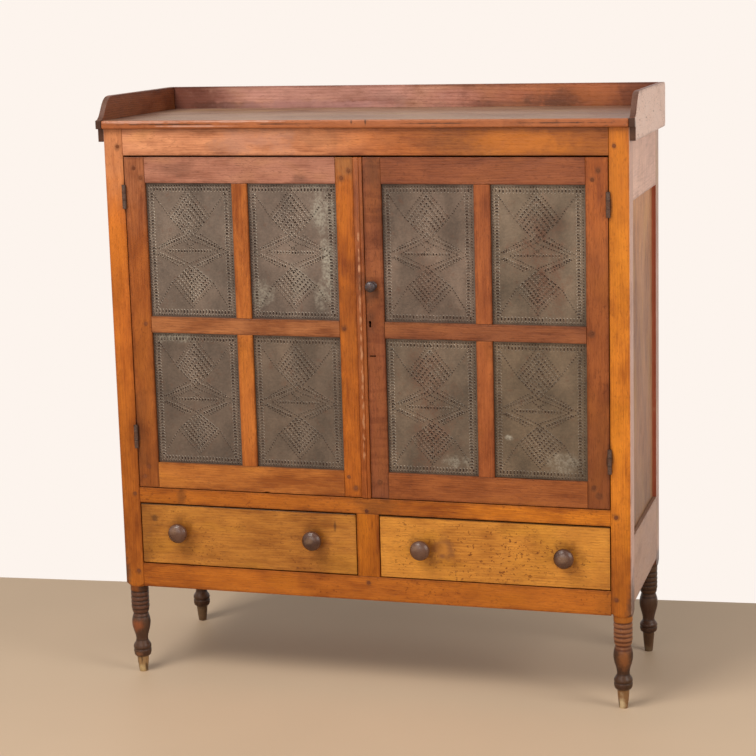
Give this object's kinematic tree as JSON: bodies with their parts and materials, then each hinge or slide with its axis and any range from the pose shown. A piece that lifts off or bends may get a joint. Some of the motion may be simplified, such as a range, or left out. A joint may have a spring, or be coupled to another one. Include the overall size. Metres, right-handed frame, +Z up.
{
  "type": "pie safe",
  "caption": "Pegged frame-and-panel cupboard on turned legs, with punched tin doors that swing on butt hinges over sliding drawers, and a low gallery round the top.",
  "frame": {"origin": "on the floor, below the middle of the whole piece", "axes": "+X to the right seen from the front, +Y from the doors to the back, +Z up"},
  "size_m": [1.3494, 0.5232, 1.501],
  "materials": {
    "front_posts": "worn amber shellac over figured hardwood, darker at edges and legs",
    "front_rails": "worn amber shellac, smudged and scratched",
    "side_wood": "dull grey-brown old finish",
    "inner_wood": "unfinished, aged",
    "top_wood": "worn, stained brown shellac",
    "left_door_wood": "worn reddish-brown shellac",
    "right_door_wood": "worn darker red-brown shellac",
    "drawer_wood": "worn honey shellac with dark specks",
    "knob_wood": "dark brown, polished by hands",
    "punched_tin": "dull tarnished tinplate with rust freckles",
    "hinge_iron": "dark rusted iron",
    "knob_iron": "dark cast iron, rubbed smooth"
  },
  "bodies": {
    "case": {"front_left_post": "front_posts", "front_right_post": "front_posts", "rear_left_post": "side_wood", "rear_right_post": "side_wood", "front_bottom_rail": "front_rails", "front_middle_rail": "front_rails", "front_top_rail": "front_rails", "drawer_divider": "front_rails", "left_side_bottom_rail": "side_wood", "left_side_top_rail": "side_wood", "left_side_panel": "side_wood", "right_side_bottom_rail": "side_wood", "right_side_top_rail": "side_wood", "right_side_panel": "side_wood", "drawer_bearer": "inner_wood", "cupboard_floor": "inner_wood", "cupboard_shelf": "inner_wood", "back_panel": "inner_wood", "top_board": "top_wood", "gallery_back": "top_wood", "gallery_left_end": "top_wood", "gallery_right_end": "top_wood", "left_upper_hinge_case_leaf": "hinge_iron", "left_lower_hinge_case_leaf": "hinge_iron", "right_upper_hinge_case_leaf": "hinge_iron", "right_lower_hinge_case_leaf": "hinge_iron"},
    "left_door": {"left_door_hinge_stile": "left_door_wood", "left_door_meeting_stile": "left_door_wood", "left_door_bead": "left_door_wood", "left_door_bottom_rail": "left_door_wood", "left_door_middle_rail": "left_door_wood", "left_door_top_rail": "left_door_wood", "left_door_muntin": "left_door_wood", "left_door_lower_outer_tin": "punched_tin", "left_door_upper_outer_tin": "punched_tin", "left_door_lower_inner_tin": "punched_tin", "left_door_upper_inner_tin": "punched_tin", "left_upper_hinge_door_leaf": "hinge_iron", "left_lower_hinge_door_leaf": "hinge_iron"},
    "right_door": {"right_door_hinge_stile": "right_door_wood", "right_door_meeting_stile": "right_door_wood", "right_door_knob": "knob_iron", "right_door_bottom_rail": "right_door_wood", "right_door_middle_rail": "right_door_wood", "right_door_top_rail": "right_door_wood", "right_door_muntin": "right_door_wood", "right_door_lower_outer_tin": "punched_tin", "right_door_upper_outer_tin": "punched_tin", "right_door_lower_inner_tin": "punched_tin", "right_door_upper_inner_tin": "punched_tin", "right_upper_hinge_door_leaf": "hinge_iron", "right_lower_hinge_door_leaf": "hinge_iron"},
    "left_drawer": {"left_drawer_front": "drawer_wood", "left_drawer_box": "inner_wood", "left_drawer_outer_knob": "knob_wood", "left_drawer_inner_knob": "knob_wood"},
    "right_drawer": {"right_drawer_front": "drawer_wood", "right_drawer_box": "inner_wood", "right_drawer_outer_knob": "knob_wood", "right_drawer_inner_knob": "knob_wood"}
  },
  "joints": [
    {"name": "left_door_hinge", "type": "hinge", "parent": "case", "child": "left_door", "pos_m": [-0.61, -0.22695, 0.946], "axis": [0, 0, -1], "range_deg": [0, 160]},
    {"name": "right_door_hinge", "type": "hinge", "parent": "case", "child": "right_door", "pos_m": [0.61, -0.22695, 0.933], "axis": [0, 0, 1], "range_deg": [0, 160]},
    {"name": "left_drawer_slide", "type": "slide", "parent": "case", "child": "left_drawer", "axis": [0, -1, 0], "range_m": [0, 0.33]},
    {"name": "right_drawer_slide", "type": "slide", "parent": "case", "child": "right_drawer", "axis": [0, -1, 0], "range_m": [0, 0.33]}
  ]
}
